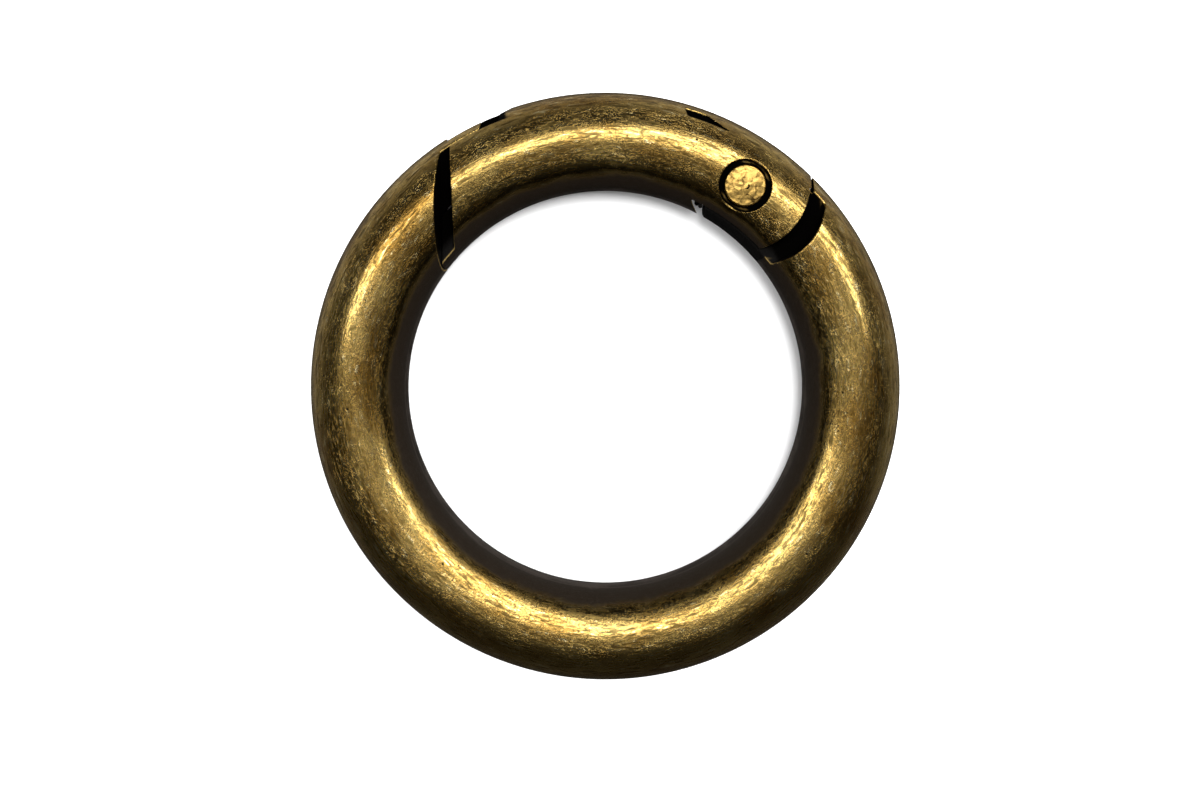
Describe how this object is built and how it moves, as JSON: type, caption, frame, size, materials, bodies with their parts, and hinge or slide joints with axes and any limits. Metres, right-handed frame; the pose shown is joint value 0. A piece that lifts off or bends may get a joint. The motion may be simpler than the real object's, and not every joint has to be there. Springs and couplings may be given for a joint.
{
  "type": "spring gate ring",
  "caption": "Round-section split ring with an inward-swinging sprung gate, a pressed hinge pin and a nose latch.",
  "frame": {"origin": "centre of the closed ring, in its mid-plane", "axes": "+Z is the axis of the ring; the hinge pin is parallel to it, 56 degrees round from +X, and the latch seam is 128 degrees round"},
  "size_m": [0.0374, 0.0374, 0.0062],
  "materials": {
    "body_casting": "antique brass plate on a zinc die casting, blackened and relieved by tumbling",
    "gate_casting": "antique brass plate on a zinc die casting, blackened and relieved by tumbling",
    "pin_brass": "antique brass plate, hammered end faces",
    "spring_wire": "blackened spring steel wire"
  },
  "bodies": {
    "ring": {"ring_body": "body_casting"},
    "gate": {"gate": "gate_casting", "pivot_pin": "pin_brass", "gate_spring": "spring_wire"}
  },
  "joints": [
    {"name": "gate_hinge", "type": "hinge", "parent": "ring", "child": "gate", "pos_m": [0.00872, 0.01293, 0], "axis": [0, 0, 1], "range_deg": [0, 38], "stiffness_Nm_per_rad": 0.03, "springref_deg": -34.38, "deforming": ["gate_spring"]}
  ]
}
